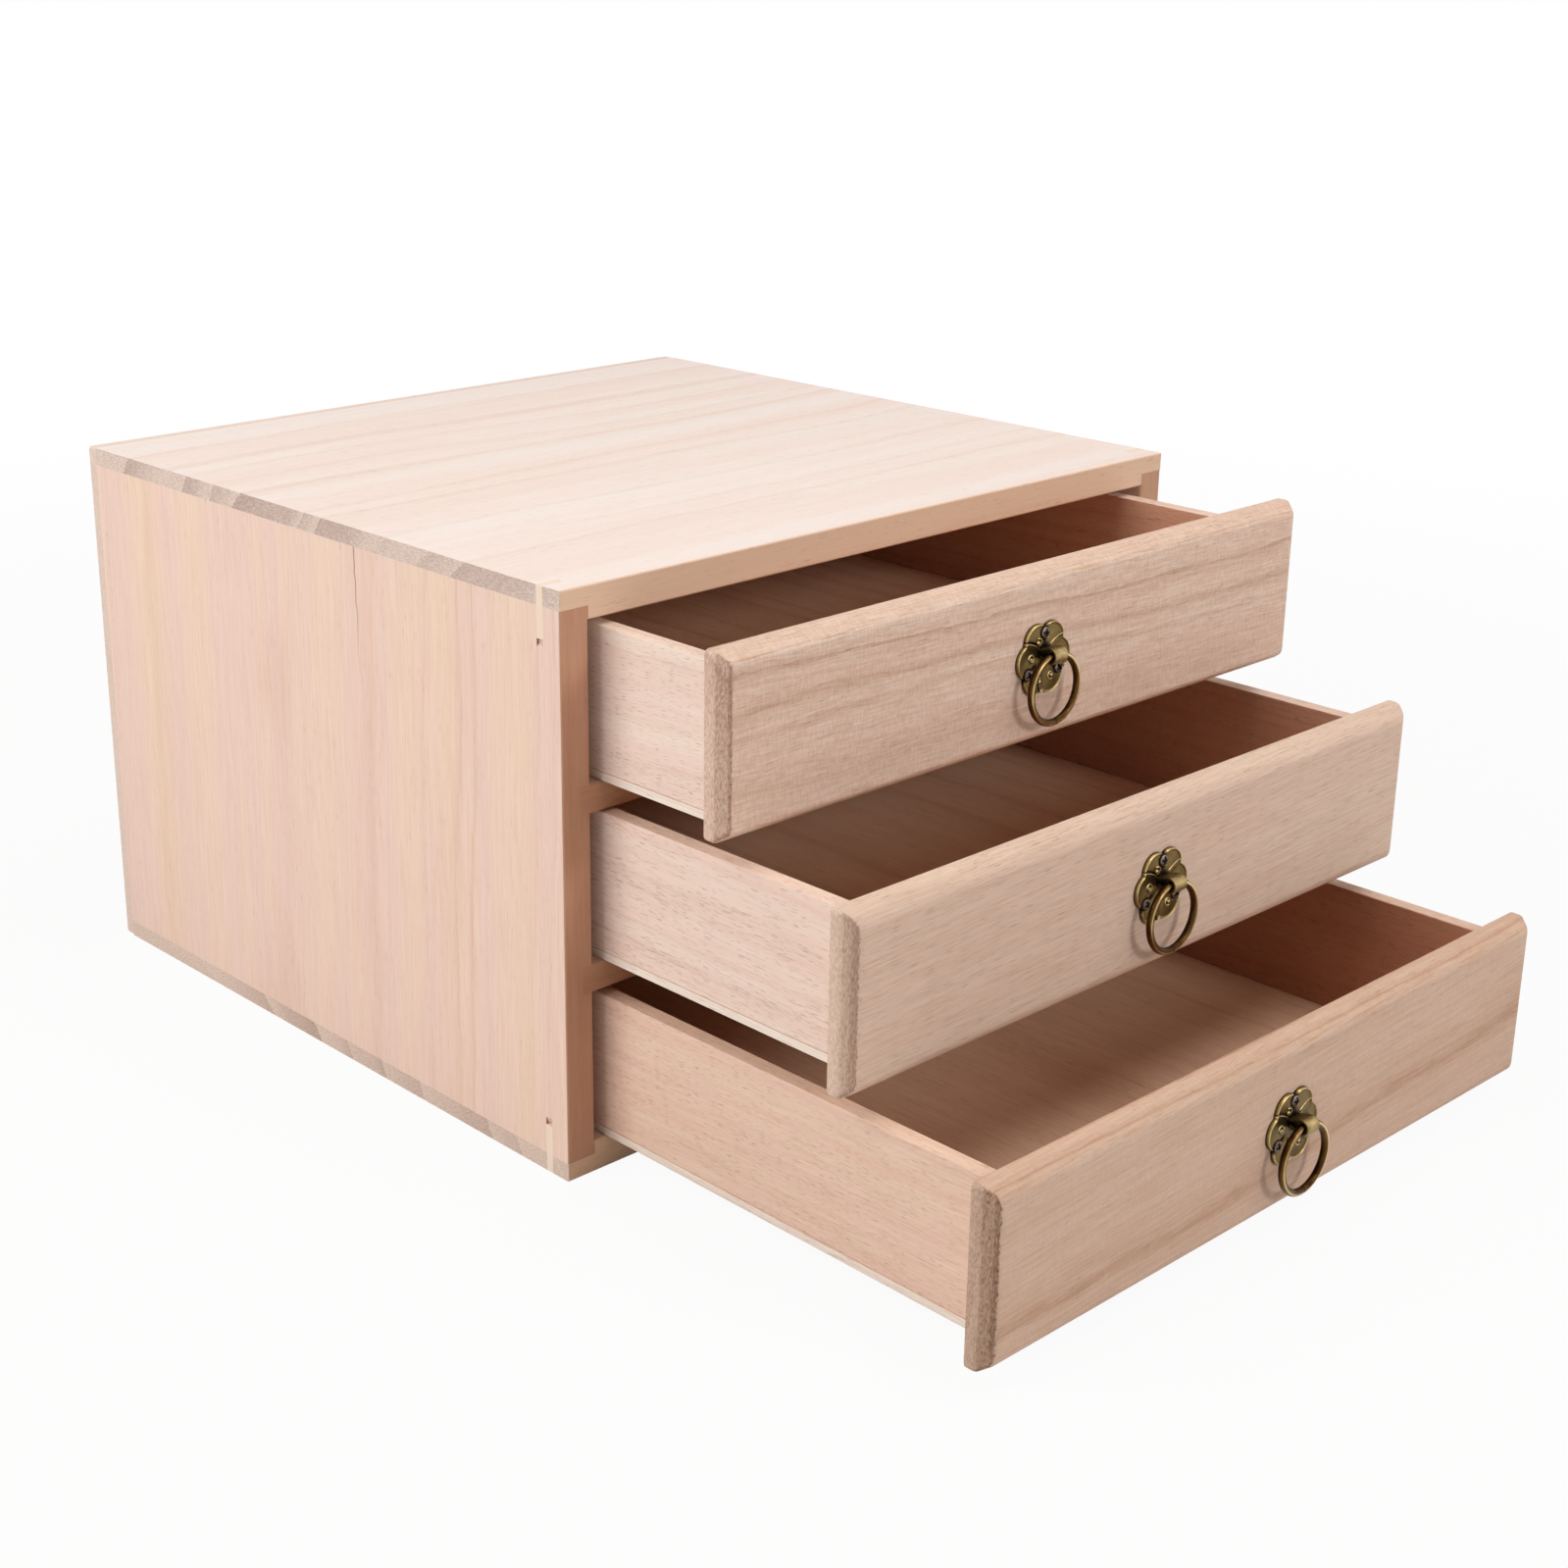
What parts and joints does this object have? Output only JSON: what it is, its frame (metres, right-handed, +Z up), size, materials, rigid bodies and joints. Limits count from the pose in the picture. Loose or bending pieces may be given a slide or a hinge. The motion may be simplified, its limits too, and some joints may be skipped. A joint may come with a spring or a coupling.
{
  "type": "tea box with drawers",
  "caption": "Small tabletop wooden chest with full-width drawers stacked in a plain case, each drawn out by a brass ring pull on a lobed plate.",
  "frame": {"origin": "middle of the case's underside, which rests on the table", "axes": "+Z up, +X to the right seen from the front, -Y the way that the drawers open"},
  "size_m": [0.32, 0.5032, 0.2175],
  "materials": {
    "paulownia": "sawn and sanded, unfinished",
    "thin_panel": "thin sanded panel, unfinished",
    "key_wood": "sanded, unfinished",
    "antique_brass": "aged and rubbed",
    "steel": "darkened"
  },
  "bodies": {
    "case": {"top_board": "paulownia", "bottom_board": "paulownia", "left_side": "paulownia", "right_side": "paulownia", "upper_shelf": "paulownia", "lower_shelf": "paulownia", "back_panel": "thin_panel", "back_panel_pins": "steel", "corner_keys": "key_wood"},
    "upper_drawer": {"upper_drawer_front": "paulownia", "upper_drawer_left_side": "paulownia", "upper_drawer_right_side": "paulownia", "upper_drawer_back": "paulownia", "upper_drawer_bottom": "thin_panel", "upper_pull_plate": "antique_brass", "upper_pull_strap": "antique_brass", "upper_pull_screws": "steel"},
    "upper_ring": {"upper_pull_ring": "antique_brass"},
    "middle_drawer": {"middle_drawer_front": "paulownia", "middle_drawer_left_side": "paulownia", "middle_drawer_right_side": "paulownia", "middle_drawer_back": "paulownia", "middle_drawer_bottom": "thin_panel", "middle_pull_plate": "antique_brass", "middle_pull_strap": "antique_brass", "middle_pull_screws": "steel"},
    "middle_ring": {"middle_pull_ring": "antique_brass"},
    "lower_drawer": {"lower_drawer_front": "paulownia", "lower_drawer_left_side": "paulownia", "lower_drawer_right_side": "paulownia", "lower_drawer_back": "paulownia", "lower_drawer_bottom": "thin_panel", "lower_pull_plate": "antique_brass", "lower_pull_strap": "antique_brass", "lower_pull_screws": "steel"},
    "lower_ring": {"lower_pull_ring": "antique_brass"}
  },
  "joints": [
    {"name": "upper_drawer_slide", "type": "slide", "parent": "case", "child": "upper_drawer", "axis": [0, -1, 0], "range_m": [-0.0625, 0.1725]},
    {"name": "upper_ring_hinge", "type": "hinge", "parent": "upper_drawer", "child": "upper_ring", "pos_m": [0, -0.2308, 0.181], "axis": [-1, 0, 0], "range_deg": [-10, 180]},
    {"name": "middle_drawer_slide", "type": "slide", "parent": "case", "child": "middle_drawer", "axis": [0, -1, 0], "range_m": [-0.1195, 0.1155]},
    {"name": "middle_ring_hinge", "type": "hinge", "parent": "middle_drawer", "child": "middle_ring", "pos_m": [0, -0.2878, 0.11165], "axis": [-1, 0, 0], "range_deg": [-10, 180]},
    {"name": "lower_drawer_slide", "type": "slide", "parent": "case", "child": "lower_drawer", "axis": [0, -1, 0], "range_m": [-0.18, 0.055]},
    {"name": "lower_ring_hinge", "type": "hinge", "parent": "lower_drawer", "child": "lower_ring", "pos_m": [0, -0.3483, 0.0422], "axis": [-1, 0, 0], "range_deg": [-10, 180]}
  ]
}
